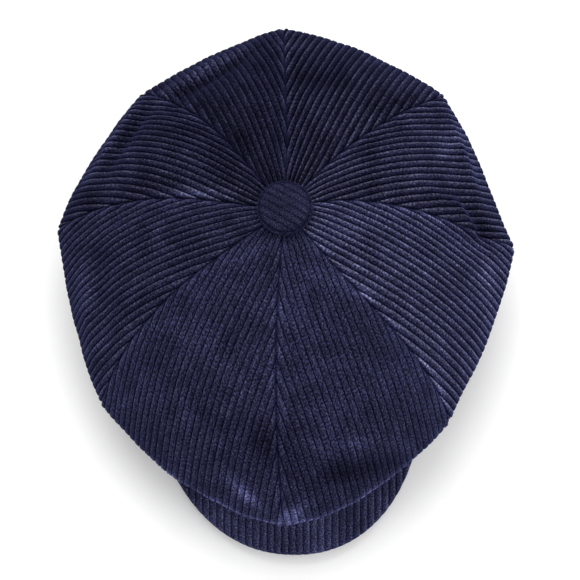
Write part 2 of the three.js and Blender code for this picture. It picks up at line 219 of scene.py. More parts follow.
def painted_wale_shading(across_mm, flank_light, pitch=WALE_PITCH):
    """Brightness across a wale, 0 to 1: painted shade in the groove, painted light and shade on its
    flanks.
    """
    from_crown = across_mm / pitch - np.round(across_mm / pitch)
    clear_of_groove_shade = smooth_step((GROOVE_SHADE_EDGE - np.abs(from_crown)) / GROOVE_SHADE_SOFTNESS)
    return CREST_TONE * clear_of_groove_shade * np.exp(FLANK_LIGHT_CONTRAST * flank_light * from_crown)


def wale_ripple(across_mm, along_mm, seed):
    """How much each wale's height varies along it, about 1."""
    wale = np.round(across_mm / WALE_PITCH)
    slow = noise2(wale * 3.7, along_mm / 9, seed)
    quick = noise2(wale * 5.3, along_mm / 2.6, seed + 1)
    return 1 + 0.16 * slow + 0.1 * quick


# ---- Crown surface ----


def fold_point(gore, across):
    """A place on the crown's outer fold, from a gore's first seam at 0 to its second at 1."""
    first = FOLD_CORNERS[gore]
    second = FOLD_CORNERS[(gore + 1) % len(FOLD_CORNERS)]
    chord = unit(second[:2] - first[:2])
    bow = (GORES[gore][1] * 4 * across * (1 - across))[..., None]
    point = first + (second - first) * across[..., None]
    point[..., :2] += bow * np.array([chord[1], -chord[0]])
    return point


def seam_sway(corner, out):
    """How far a seam has swayed sideways in plan, `out` of the way from the apex to its corner."""
    sway, peak = SEAM_SWAYS[corner]
    sharpness = 1 / min(peak, 1 - peak)
    rise = (out / peak) ** (sharpness * peak)
    fall = (np.clip(1 - out, 0, 1) / (1 - peak)) ** (sharpness * (1 - peak))
    reach = unit(FOLD_CORNERS[corner][:2] - APEX[:2])
    return sway * (rise * fall)[..., None] * np.array([-reach[1], reach[0]])


def band_point(gore, across):
    """A place on the headband's top edge, which the gore is sewn to."""
    half_width, half_length = BAND_HALF_WIDTH - CLOTH, BAND_HALF_LENGTH - CLOTH
    angles = []
    for corner in (FOLD_CORNERS[gore], FOLD_CORNERS[(gore + 1) % len(FOLD_CORNERS)]):
        angles.append(math.atan2(corner[1] / half_length, corner[0] / half_width))
    if angles[1] < angles[0]:
        angles[1] += 2 * math.pi
    angle = lerp(angles[0], angles[1], across)
    height = np.full_like(angle, BAND_HEIGHT + GAP)
    return np.stack([half_width * np.cos(angle), half_length * np.sin(angle), height], -1)


def puff_share(out):
    """0 at the apex and the fold, 1 where the gores puff up most."""
    return np.sin(math.pi * np.clip(out, 0, 1) ** (math.log(0.5) / math.log(PUFF_AT)))


def crown_base(gore, across, along):
    """The plain crown of the CAD model: along is 0 at the apex, 1 at the fold and 2 at the band."""
    fold = fold_point(gore, across)
    reach = fold[..., :2] - APEX[:2]
    start = np.arcsin((CROWN_START / np.linalg.norm(reach, axis=-1)) ** (DOME_SPREAD / 2))
    turn = lerp(start, math.pi / 2, np.clip(along, 0, 1))
    out = np.sin(turn) ** (2 / DOME_SPREAD)
    up = np.maximum(np.cos(turn), 0) ** (2 / DOME_SHOULDER)
    sway = lerp(
        seam_sway(gore, out), seam_sway((gore + 1) % len(FOLD_CORNERS), out), across[..., None]
    )
    puff = GORE_PUFF * 4 * across * (1 - across) * puff_share(out)
    top = np.empty(fold.shape)
    top[..., :2] = APEX[:2] + reach * out[..., None] + sway
    top[..., 2] = fold[..., 2] + (APEX[2] - fold[..., 2]) * up + puff
    under_turn = np.clip(along - 1, 0, 1) * math.pi / 2
    band = band_point(gore, across)
    under = np.empty(fold.shape)
    inward = (1 - np.cos(under_turn))[..., None]
    under[..., :2] = lerp(fold[..., :2], band[..., :2], inward)
    under[..., 2] = lerp(fold[..., 2], band[..., 2], np.sin(under_turn))
    return np.where((along <= 1)[..., None], top, under), out


def crown_base_normal(gore, across, along):
    """Outward from the plain crown, the same for both gores at a seam."""
    step = 0.02
    before = crown_base(gore, across, np.maximum(along - step, 0))[0]
    after = crown_base(gore, across, np.minimum(along + step, 2))[0]
    fold = fold_point(gore, across)
    sideways = np.stack(
        [APEX[1] - fold[..., 1], fold[..., 0] - APEX[0], np.zeros(across.shape)], -1
    )
    return unit(np.cross(after - before, sideways))


def spot(x, y, shape):
    """A soft oval spot: place, long and short radius, direction in degrees, and strength."""
    spot_x, spot_y, long_radius, short_radius, direction, strength = shape
    turn = math.radians(direction)
    lengthways = (x - spot_x) * math.cos(turn) + (y - spot_y) * math.sin(turn)
    sideways = (y - spot_y) * math.cos(turn) - (x - spot_x) * math.sin(turn)
    return strength * bell(lengthways, long_radius) * bell(sideways, short_radius)


def crown_swell(gore, across, along, point, out):
    """How far the relaxed, puffed crown stands off the plain one, in millimetres."""
    side = np.abs(2 * across - 1)
    pillow = 1 - side ** 2.6
    on_top = np.clip((1.12 - along) / 0.2, 0, 1)
    x, y = point[..., 0], point[..., 1]
    from_apex = np.hypot(x - APEX[0], y - APEX[1])
    collar = COLLAR_SWELL * bell(from_apex - COLLAR_RADIUS, COLLAR_WIDTH) * (0.35 + 0.65 * pillow)
    swell = FOLD_SWELL * bell(along - 1, 0.3)
    swell += (PILLOW_SWELL * pillow * puff_share(out) + collar) * (along <= 1)
    for dent in DENTS:
        swell += on_top * spot(x, y, dent)
    away_from_ends = np.clip(out * 2.2 - 0.15, 0, 1) * np.clip((1.9 - along) / 0.5, 0, 1)
    for height, spacing, seed in UNEVENNESS:
        swell += away_from_ends * height * noise2(x / spacing + 9, y / spacing + 9, seed)
    return swell


def crown_shape(gore, across, along):
    """The relaxed crown, before its wales."""
    base, out = crown_base(gore, across, along)
    swell = crown_swell(gore, across, along, base, out)
    return base + crown_base_normal(gore, across, along) * swell[..., None]


def crown_skin(gore, across, along, stand_off, at_seam):
    """The puffed crown, stand_off millimetres out along its normal.

    at_seam is 1 on a seam, where the two gores share one normal, and 0 away from it.
    """
    step = 0.012
    shape = crown_shape(gore, across, along)
    sideways = crown_shape(gore, across + step, along) - crown_shape(gore, across - step, along)
    outward = crown_shape(gore, across, np.minimum(along + step, 2)) - crown_shape(
        gore, across, np.maximum(along - step, 0)
    )
    own_normal = unit(np.cross(outward, sideways))
    shared_normal = crown_base_normal(gore, across, along)
    normal = unit(lerp(own_normal, shared_normal, at_seam[..., None]))
    return shape + normal * stand_off[..., None]


class GorePattern:
    """One gore's flat pattern: its half width and length against the place along it."""

    def __init__(self, gore):
        self.along = np.linspace(0, 2, 401)
        sides = np.linspace(0, 1, 33)
        across, along = np.meshgrid(sides, self.along)
        points = crown_base(gore, across, along)[0]
        widths = np.linalg.norm(np.diff(points, axis=1), axis=-1).sum(axis=1)
        middle = points[:, len(sides) // 2]
        steps = np.linalg.norm(np.diff(middle, axis=0), axis=-1)
        self.length = np.concatenate([[0], np.cumsum(steps)])
        self.half_width = widths / 2 + GATHER * np.exp(-self.length / GATHER_REACH)

    def limits(self, offset):
        """Where the wale `offset` from the centre line starts and ends, in millimetres along."""
        start = np.interp(offset, np.maximum.accumulate(self.half_width), self.length)
        widest_beyond = np.maximum.accumulate(self.half_width[::-1])
        end = np.interp(offset, widest_beyond, self.length[::-1])
        return start, end


# ---- Meshes and materials ----


def add_mesh(name, points, faces, material, uvs=None, attributes=None):
    """A piece from points in millimetres, with UVs and named values for each point."""
    mesh = bpy.data.meshes.new(name)
    mesh.from_pydata(np.asarray(points).reshape(-1, 3) * MM, [], faces)
    if uvs is not None:
        layer = mesh.uv_layers.new(name="wales")
        corners = np.empty(len(mesh.loops), np.int32)
        mesh.loops.foreach_get("vertex_index", corners)
        layer.data.foreach_set("uv", np.asarray(uvs, np.float32).reshape(-1, 2)[corners].ravel())
    for key, values in (attributes or {}).items():
        attribute = mesh.attributes.new(key, "FLOAT", "POINT")
        attribute.data.foreach_set("value", np.asarray(values, np.float32).ravel())
    mesh.shade_smooth()
    mesh.update()
    piece = bpy.data.objects.new(name, mesh)
    bpy.context.scene.collection.objects.link(piece)
    mesh.materials.append(material)
    return piece


def grid_faces(rows, columns, closed=False, flip=False):
    """Quads of a grid of points; closed joins the last column to the first."""
    index = np.arange(rows * columns).reshape(rows, columns)
    if closed:
        index = np.concatenate([index, index[:, :1]], axis=1)
    a, b, c, d = index[:-1, :-1], index[1:, :-1], index[1:, 1:], index[:-1, 1:]
    quads = np.stack([a, b, c, d] if not flip else [a, d, c, b], -1)
    return quads.reshape(-1, 4).tolist()


class Nodes:
    """Shorthand for building one material's node tree."""

    def __init__(self, name):
        self.material = bpy.data.materials.new(name)
        self.material.use_nodes = True
        self.tree = self.material.node_tree
        self.shader = self.tree.nodes["Principled BSDF"]

    def add(self, kind, inputs=None, **settings):
        node = self.tree.nodes.new(kind)
        for key, value in settings.items():
            setattr(node, key, value)
        for key, value in (inputs or {}).items():
            self.put(node.inputs[key], value)
        return node

    def put(self, socket, value):
        if isinstance(value, bpy.types.NodeSocket):
            self.tree.links.new(value, socket)
        else:
            socket.default_value = value

    def ramp(self, factor, stops):
        node = self.add("ShaderNodeValToRGB", {"Fac": factor})
        elements = node.color_ramp.elements
        while len(elements) < len(stops):
            elements.new(0.5)
        for element, (position, color) in zip(elements, stops):
            element.position = position
            element.color = (*color, 1)
        return node.outputs["Color"]

    def grey_ramp(self, factor, stops):
        return self.ramp(factor, [(position, (value,) * 3) for position, value in stops])

    def noise(self, vector, scale, detail=2.0, roughness=0.5):
        node = self.add(
            "ShaderNodeTexNoise",
            {"Vector": vector, "Scale": scale, "Detail": detail, "Roughness": roughness},
        )
        return node.outputs["Fac"]

    def stretched_uv(self, across, along):
        uv = self.add("ShaderNodeUVMap", uv_map="wales").outputs["UV"]
        mapping = self.add("ShaderNodeMapping", {"Vector": uv, "Scale": (across, along, 1)})
        return mapping.outputs["Vector"]

    def multiply(self, first, second):
        node = self.add("ShaderNodeMix", data_type="RGBA", blend_type="MULTIPLY", clamp_result=False)
        self.put(node.inputs["Factor"], 1.0)
        self.put(node.inputs[6], first)
        self.put(node.inputs[7], second)
        return node.outputs[2]

    def bump(self, height, distance, strength=1.0):
        node = self.add(
            "ShaderNodeBump", {"Height": height, "Distance": distance, "Strength": strength}
        )
        self.put(self.shader.inputs["Normal"], node.outputs["Normal"])

    def finish(self, **sockets):
        names = {
            "color": "Base Color", "roughness": "Roughness", "sheen": "Sheen Weight",
            "sheen_roughness": "Sheen Roughness", "sheen_tint": "Sheen Tint",
            "metallic": "Metallic", "specular": "Specular IOR Level",
        }
        for key, value in sockets.items():
            self.put(self.shader.inputs[names[key]], value)
        return self.material


def corduroy_material():
    """Navy wide-wale cotton pile, fine mottled grain, painted light and shade on wales, folds and seams.
    """
    nodes = Nodes("corduroy")
    tone = nodes.add("ShaderNodeAttribute", attribute_name="tone").outputs["Fac"]
    nap_and_painted_light = nodes.add("ShaderNodeAttribute", attribute_name="nap_and_painted_light").outputs["Fac"]
    # The tone's dark end is painted shade in the grooves, its bright end painted light on a wale's lit
    # flank
    pile = nodes.ramp(tone, [
        (0.0, (0.0018, 0.0022, 0.0086)),
        (0.12, (0.0066, 0.0074, 0.0258)),
        (0.36, (0.0276, 0.0290, 0.0680)),
        (1.0, (0.1390, 0.1410, 0.2370)),
    ])
    # The ramp's steep top brightens the painted sheen on the fold's edge and the painted highlight spots
    pile_light_grey = nodes.grey_ramp(nap_and_painted_light, [
        (0.0, 0.16), (0.25, 0.34), (0.5, 0.66), (0.75, 1.0), (0.9, 1.5), (1.0, 2.6),
    ])
    grain = nodes.noise(nodes.stretched_uv(4.2, 3.4), 1.0, 2.0, 0.6)
    grain_grey = nodes.grey_ramp(grain, [(0.37, 0.28), (0.48, 0.72), (0.56, 1.28), (0.66, 2.5)])
    streak = nodes.noise(nodes.stretched_uv(1.6, 0.4), 1.0, 2.0)
    streak_grey = nodes.grey_ramp(streak, [(0.3, 0.72), (0.7, 1.18)])
    color = nodes.multiply(nodes.multiply(pile, pile_light_grey), nodes.multiply(grain_grey, streak_grey))
    fuzz = nodes.noise(nodes.stretched_uv(7.0, 7.0), 1.0, 3.0, 0.7)
    nodes.bump(fuzz, 0.0005, 0.7)
    return nodes.finish(
        color=color, roughness=0.95, specular=0.0,
        sheen=0.12, sheen_roughness=0.4, sheen_tint=(0.28, 0.32, 0.92, 1),
    )


def satin_material():
    """Near-black lining satin with fine threads."""
    nodes = Nodes("lining_satin")
    threads = nodes.noise(nodes.stretched_uv(14.0, 1.2), 1.0, 3.0)
    color = nodes.ramp(threads, [(0.3, (0.006, 0.007, 0.014)), (0.7, (0.014, 0.015, 0.028))])
    nodes.bump(threads, 0.0002, 0.3)
    return nodes.finish(color=color, roughness=0.42, specular=0.5, sheen=0.1)


def twill_material(name, dark, light, angle=0.8):
    """A ribbed weave, its ribs turned by an angle."""
    nodes = Nodes(name)
    uv = nodes.add("ShaderNodeUVMap", uv_map="wales").outputs["UV"]
    turned = nodes.add("ShaderNodeMapping", {"Vector": uv, "Rotation": (0, 0, angle)})
    ribs = nodes.add(
        "ShaderNodeTexWave",
        {"Vector": turned.outputs["Vector"], "Scale": 3.4, "Distortion": 0.6, "Detail": 2.0},
    ).outputs["Fac"]
    color = nodes.ramp(ribs, [(0.2, dark), (0.8, light)])
    nodes.bump(ribs, 0.0002, 0.6)
    return nodes.finish(color=color, roughness=0.85, specular=0.2)


def solid_texture_material(name, dark, light, scale, **finish):
    """For hidden CAD pieces: a colour with a fine object-space grain."""
    nodes = Nodes(name)
    place = nodes.add("ShaderNodeTexCoord").outputs["Object"]
    grain = nodes.noise(place, scale, 4.0)
    color = nodes.ramp(grain, [(0.3, dark), (0.7, light)])
    nodes.bump(grain, 0.0001, 0.4)
    return nodes.finish(color=color, **finish)


CORDUROY = corduroy_material()
SATIN = satin_material()
SWEATBAND_TWILL = twill_material("sweatband_twill", (0.008, 0.009, 0.018), (0.020, 0.022, 0.040))
LABEL_WEAVE = twill_material("label_weave", (0.42, 0.39, 0.31), (0.60, 0.57, 0.48), 0.0)

# ---- Camera, light and floor ----

VIEW_ELEVATION = math.radians(78)
VIEW_DISTANCE = 1.3
VIEW_WIDTH = 0.3364
VIEW_CENTRE = Vector((0.0029, -0.0119, 0.0483))
# Place in metres, disc width in metres and power in watts
LIGHTS = {
    "key": ((-0.15, 1.0, 1.25), 1.5, 19),
    "fill": ((0.75, -0.6, 1.1), 1.5, 6),
}
WORLD_STRENGTH = 0.82
FLOOR_REACH = 3000


def add_camera():
    """A long lens almost straight above the cap, from slightly in front."""
    data = bpy.data.cameras.new("camera")
    data.angle = 2 * math.atan(VIEW_WIDTH / 2 / VIEW_DISTANCE)
    camera = bpy.data.objects.new("camera", data)
    direction = Vector((0, -math.cos(VIEW_ELEVATION), math.sin(VIEW_ELEVATION)))
    camera.location = VIEW_CENTRE + direction * VIEW_DISTANCE
    camera.rotation_euler = direction.to_track_quat("Z", "Y").to_euler()
    bpy.context.scene.collection.objects.link(camera)
    bpy.context.scene.camera = camera


def add_light(name, place, size, power):
    """A disc light aimed at the middle of the cap."""
    data = bpy.data.lights.new(name, "AREA")
    data.shape = "DISK"
    data.size = size
    data.energy = power
    light = bpy.data.objects.new(name, data)
    light.location = place
    aim = Vector(place) - Vector((0, 0, 0.05))
    light.rotation_euler = aim.to_track_quat("Z", "Y").to_euler()
    bpy.context.scene.collection.objects.link(light)


def add_floor():
    """Near-white paper under the cap, as staging."""
    nodes = Nodes("floor_paper")
    place = nodes.add("ShaderNodeTexCoord").outputs["Object"]
    grain = nodes.noise(place, 40.0)
    color = nodes.ramp(grain, [(0.0, (0.93, 0.93, 0.93)), (1.0, (0.96, 0.96, 0.96))])
    paper = nodes.finish(color=color, roughness=0.9, specular=0.1)
    reach = FLOOR_REACH
    corners = [(-reach, -reach, 0), (reach, -reach, 0), (reach, reach, 0), (-reach, reach, 0)]
    floor = add_mesh("floor", corners, [(0, 1, 2, 3)], paper)


def add_world():
    """Even white light from all round, shown without a tone curve."""
    world = bpy.data.worlds.new("studio")
    world.use_nodes = True
    background = world.node_tree.nodes["Background"]
    background.inputs["Color"].default_value = (1, 1, 1, 1)
    background.inputs["Strength"].default_value = WORLD_STRENGTH
    bpy.context.scene.world = world
    bpy.context.scene.view_settings.view_transform = "Standard"


# ---- Crown pieces ----

CROWN_ROWS = 150
# The outermost points lie this much inside the gore's widest place, where a wale has no length
EDGE_MARGIN = 0.001
# The cloth stops this far from the apex, under the button, clear of its shank
SHANK_CLEARANCE = 5.5

# Seams are stitched down, puckered and sunk, and the wales bulge where they end beside them
SEAM_DEPTH = 0.75
STITCH_REACH = 1.2
PUCKER = 0.55
PUCKER_REACH = 9
SEAM_SINK = 0.4
SEAM_SINK_REACH = 5
WALE_END_BULGE = 0.45
TUFT_HEIGHT = 0.13
HEM_DEPTH = 2.2

LINING_ROWS = 60
LINING_COLUMNS = 25
LINING_END = 1.98
LINING_SPACE = 1.2
LINING_SLACK = 0.45
LINING_SEAM = 0.7


def nap_and_painted_light_field(gore, points, along):
    """The pile's brightness, dull at 0 and bright at 1 or more: the gore's own, random mottling,
    spots of painted light and shade, a few of them brushed pile, and painted sheen on the fold."""
    x, y = points[..., 0], points[..., 1]
    patches_and_painted_light = 0.09 * noise2(x / 24 + 5, y / 24 + 5, 31) + 0.12 * noise2(x / 8 + 5, y / 8 + 5, 32)
    for light_spot in RUBS_AND_PAINTED_LIGHT:
        patches_and_painted_light += spot(x, y, light_spot)
    # Painted sheen along the outer fold's edge, with a second band just above it at the front
    in_front = smooth_step((-85 - y) / 35)
    fold_edge_sheen = 0.55 * bell(along - 1.05, 0.06) + 0.4 * in_front * bell(along - 0.97, 0.045)
    return np.clip(GORES[gore][2] + patches_and_painted_light + fold_edge_sheen, 0, 1.4)


def wale_end(offset, to_seam):
    """1 on a wale's crown just beside a seam, falling to 0 away from there."""
    return wale_profile(offset) * bell(to_seam - 2.4, 1.5)


def gore_layout(gore):
    """The gore's grid of points: columns lie along its wales, offset from the centre line, and
    each runs from the seam or the apex to the seam or the band."""
    pattern = GorePattern(gore)
    widest = pattern.half_width.max() - EDGE_MARGIN
    step = WALE_PITCH / POINTS_PER_WALE
    count = int(widest / step)
    offsets = np.concatenate([[-widest], np.arange(-count, count + 1) * step, [widest]])
    start, end = pattern.limits(np.abs(offsets))
    share = np.linspace(0, 1, CROWN_ROWS)[:, None]
    length = lerp(np.maximum(start, SHANK_CLEARANCE), end, share)
    along = np.interp(length, pattern.length, pattern.along)
    half_width = np.maximum(np.interp(along, pattern.along, pattern.half_width), 1e-3)
    offset = np.broadcast_to(offsets, along.shape)
    across = np.clip(0.5 + 0.5 * offset / half_width, 0, 1)
    to_seam = np.maximum(half_width - np.abs(offset), 0)
    return offset, length, along, across, to_seam


def wale_relief(gore, offset, length, along, to_seam):
    """How far the cloth's wales and seams stand off the relaxed crown, in millimetres."""
    fade = np.clip((2 - along) / 0.12, 0, 1)
    ripple = wale_ripple(offset, length, 60 + gore)
    wale_level = WALE_HEIGHT * ripple * (wale_profile(offset) - 0.75) * fade
    stand_off = lerp(-SEAM_DEPTH * fade, wale_level, smooth_step(to_seam / STITCH_REACH))
    seam = np.where(offset < 0, gore, (gore + 1) % len(GORES))
    pucker = noise2(length / 5 + 40, seam * 3.0, 50) * bell(to_seam, PUCKER_REACH)
    beside_seam = PUCKER * pucker - SEAM_SINK * bell(to_seam, SEAM_SINK_REACH)
    stand_off += (beside_seam + WALE_END_BULGE * wale_end(offset, to_seam)) * fade
    tufts = noise2(offset / 0.8 + 90, length / 1.7, 70 + gore)
    return stand_off + TUFT_HEIGHT * tufts * smooth_step(to_seam / 1.5) * fade


def crown_gore(gore):
    """A gore of corduroy with its wales, its seams and a short hem turned in at both ends."""
    name, _, _, flank_light = GORES[gore]
    offset, length, along, across, to_seam = gore_layout(gore)
    stand_off = wale_relief(gore, offset, length, along, to_seam)
    points = crown_skin(gore, across, along, stand_off, 1 - smooth_step(to_seam / 7))

    ends = [0, -1]
    hem_depth = np.full(across[ends].shape, -HEM_DEPTH)
    hem = crown_skin(gore, across[ends], along[ends], hem_depth, np.ones(hem_depth.shape))
    points = np.concatenate([hem[:1], points, hem[1:]])
    with_hems = [0, *range(CROWN_ROWS), -1]

    # Painted highlight along the seams and on the wale ends bulging beside them
    seam_highlight = 0.12 * bell(to_seam, 2.5) + 0.14 * wale_end(offset, to_seam)
    nap_and_painted_light = nap_and_painted_light_field(gore, points, along[with_hems]) + seam_highlight[with_hems]
    # Tone: painted shade in the grooves, painted light on one flank of each wale, and painted shade
    # along the seams
    tone = painted_wale_shading(offset, flank_light) * np.clip(0.45 + to_seam / 1.5, 0, 1)
    uvs = np.stack([offset / WALE_PITCH + 31 * gore, length / WALE_PITCH], -1)
    piece = add_mesh(
        f"corduroy_{name}", points, grid_faces(*points.shape[:2]), CORDUROY,
        uvs[with_hems], {"tone": tone[with_hems], "nap_and_painted_light": nap_and_painted_light},
    )
    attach(piece, "crown")
    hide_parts(f"gore_{name}")


def lining_gore(gore):
    """A gore of satin inside the corduroy one, slack between its seams and sagging at the apex."""
    name = GORES[gore][0]
    side, along = np.meshgrid(
        np.linspace(0, 1, LINING_COLUMNS), np.linspace(0, LINING_END, LINING_ROWS)
    )
    base, out = crown_base(gore, side, along)
    on_top = along < 1
    distance = TYPICAL_REACH * np.sin(np.clip(along, 0, 1) * math.pi / 2) ** (2 / DOME_SPREAD)
    sag = np.where(on_top, LINING_SAG * bell(distance, LINING_SAG_REACH), 0)
    slack = LINING_SLACK * (noise2(base[..., 0] / 15 + 9, base[..., 1] / 15 + 9, 80) - 1)
    seam = LINING_SEAM * bell(np.minimum(side, 1 - side) * 60, 2.5)
    depth = CLOTH + LINING_SPACE + sag + slack * np.clip(out * 3, 0, 1) * on_top + seam
    depth -= np.minimum(crown_swell(gore, side, along, base, out), 0)
    points = base - crown_base_normal(gore, side, along) * depth[..., None]
    uvs = np.stack([side * 20 + 31 * gore, along * 40], -1)
    faces = grid_faces(LINING_ROWS, LINING_COLUMNS, flip=True)
    piece = add_mesh(f"satin_{name}", points, faces, SATIN, uvs)
    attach(piece, "crown")
    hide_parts(f"lining_{name}")


# ---- Headband and sweatband ----

BAND_WALES = 138
BAND_UPRIGHT_ROWS = 14
BAND_WALE_HEIGHT = 0.55
BAND_NAP = 0.6
# The painted light on one flank of the brim's and the band's wales, as for the gores
SIDE_FLANK_LIGHT = 0.3

# The headband's section above its turned lower edge and below: height and inset
BAND_TOP_ROW = (BAND_HEIGHT - 0.1, 1.2)
BAND_TURN_ROWS = ((1.2, 0.12), (0.55, 0.3), (0.15, 0.55), (0.0, 0.9), (0.1, 1.25), (0.8, 1.5), (4, 1.55))
BAND_TURN_WALE_ROWS = 2

# The sweatband's section, from its outer top edge, over and down inside to its stitched lower
# fold: height and inset
SWEATBAND_ROWS = (
    (33.6, 2.9), (34.3, 2.95), (34.4, 3.6), (33.8, 3.95), (26, 4.0), (18, 4.02), (10, 4.0),
    (4.6, 4.0), (3.9, 3.75), (3.2, 4.0), (1.4, 4.0), (0.8, 3.9), (0.6, 3.5), (0.9, 3.0), (2.0, 2.9),
)
SWEATBAND_COLUMNS = 480


def ellipse_angles(half_width, half_length, count):
    """Angles that cut an ellipse into equal lengths."""
    fine = np.linspace(0, 2 * math.pi, 4001)
    path = np.stack([half_width * np.cos(fine), half_length * np.sin(fine)], -1)
    length = np.concatenate([[0], np.cumsum(np.linalg.norm(np.diff(path, axis=0), axis=-1))])
    return np.interp(np.linspace(0, length[-1], count, endpoint=False), length, fine)


def band_ring(angles, rows):
    """Points round the headband's ellipse, for each row's height and inset, which may vary round it."""
    half_sizes = np.array([BAND_HALF_WIDTH, BAND_HALF_LENGTH])
    circle = np.stack([np.cos(angles), np.sin(angles)], -1)
    normal = unit(circle / half_sizes)
    points = np.empty((len(rows), len(angles), 3))
    for row, (height, inset) in zip(points, rows):
        row[:, :2] = circle * half_sizes - normal * np.broadcast_to(inset, len(angles))[:, None]
        row[:, 2] = height
    return points


def ring_uvs(rows, across, along_scale):
    """UVs of a ring: a place across for each column, and each row's scaled height."""
    uvs = np.empty((len(rows), len(across), 2))
    uvs[..., 0] = across
    uvs[..., 1] = np.array([height for height, _ in rows])[:, None] * along_scale
    return uvs


def headband():
    """A standing ring of corduroy, its wales upright, turned in round its lower edge."""
    angles = ellipse_angles(BAND_HALF_WIDTH, BAND_HALF_LENGTH, BAND_WALES * POINTS_PER_WALE)
    place = np.arange(len(angles)) / POINTS_PER_WALE * WALE_PITCH
    crest = wale_profile(place)
    upright = np.linspace(BAND_HEIGHT - 1.2, 2.2, BAND_UPRIGHT_ROWS)
    section = [BAND_TOP_ROW, *((height, 0) for height in upright), *BAND_TURN_ROWS]
    full_wales = range(1, 1 + BAND_UPRIGHT_ROWS + BAND_TURN_WALE_ROWS)
    rows = []
    for row, (height, inset) in enumerate(section):
        share = 1 if row in full_wales else 0.3
        rows.append((height, inset + BAND_WALE_HEIGHT * share * (1 - crest) - 0.2 * share))
    shape = (len(rows), len(angles))
    # Tone: painted shade in the grooves and painted light on one flank of each wale
    tone = np.broadcast_to(painted_wale_shading(place, SIDE_FLANK_LIGHT), shape)
    piece = add_mesh(
        "corduroy_headband", band_ring(angles, rows), grid_faces(*shape, closed=True), CORDUROY,
        ring_uvs(rows, place / WALE_PITCH, 1 / WALE_PITCH),
        {"tone": tone, "nap_and_painted_light": np.full(shape, BAND_NAP)},
    )
    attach(piece, "crown")
    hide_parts("headband")


def sweatband():
    """A twill tape inside the headband, with rounded edges and a stitched lower fold."""
    angles = ellipse_angles(BAND_HALF_WIDTH, BAND_HALF_LENGTH, SWEATBAND_COLUMNS)
    piece = add_mesh(
        "twill_sweatband", band_ring(angles, SWEATBAND_ROWS),
        grid_faces(len(SWEATBAND_ROWS), len(angles), closed=True), SWEATBAND_TWILL,
        ring_uvs(SWEATBAND_ROWS, np.arange(len(angles)) * 0.6, 0.5),
    )
    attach(piece, "crown")
    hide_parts("sweatband")


# ---- Brim ----

BRIM_COLUMNS = 420
BRIM_ROWS = 80
BRIM_EDGE_ROWS = 9
BRIM_EDGE_INSET = CLOTH + GAP
BRIM_WALE_HEIGHT = 0.85
BRIM_NAP = 0.84
BRIM_GRAIN_SCALE = 1.35
# The cloths stop this far from the headband, and their closed back edge bulges this much into it
BRIM_ROOT_GAP = 1.2
BRIM_ROOT_BULGE = 0.5
# The cloths' last row turns in between them
BRIM_TURN_IN = 1.2
# How far each cloth stands off the CAD one
BRIM_STAND_OFF = 0.05


def brim_edge(across):
    """The brim's outer edge in plan, from its right end at -1 to its left end at 1."""
    turn = np.abs(across) * math.pi / 2
    forward = np.maximum(np.cos(turn), 0) ** (2 / BRIM_ROUNDNESS)
    sideways = np.sign(across) * BRIM_HALF_WIDTH * np.sin(turn) ** (2 / BRIM_ROUNDNESS)
    return np.stack([sideways + BRIM_LEAN * forward, BRIM_BACK_Y - BRIM_LENGTH * forward], -1)


def brim_middle(across, out, root_gap):
    """The brim's middle surface, as in the CAD model: out is 0 at the band and 1 at the edge."""
    angle = across * BRIM_HALF_ANGLE
    root_x = (BAND_HALF_WIDTH + root_gap) * np.sin(angle)
    root_y = -(BAND_HALF_LENGTH + root_gap) * np.cos(angle)
    place = lerp(np.stack([root_x, root_y], -1), brim_edge(across), out[..., None])
    arch = BRIM_ARCH * np.maximum(1 - (place[..., 0] / BRIM_HALF_WIDTH) ** 2, 0)
    height = BRIM_SIDE_HEIGHT + arch - BRIM_DIP * out ** 2
    return np.concatenate([place, height[..., None]], -1)


def brim_outward(across):
    """The level direction straight out of the brim's edge."""
    step = 0.004
    change = brim_edge(np.minimum(across + step, 1)) - brim_edge(np.maximum(across - step, -1))
    return unit(np.stack([change[..., 1], -change[..., 0], np.zeros(across.shape)], -1))


def close_brim_edges(points, outward, root, side, roll):
    """Adds the closed back edge, the turned-in outer edge and the two closed ends to a cloth."""
    turned_in = points[-1:] - outward[-1:] * BRIM_TURN_IN
    points = np.concatenate([root, points, turned_in])
    ends = points[:, [0, -1]].copy()
    level = np.concatenate([[0], np.cos(roll), [0]])
    ends[..., 2] -= side * BRIM_HALF_STACK * level[:, None]
    return np.concatenate([ends[:, :1], points, ends[:, 1:]], axis=1)


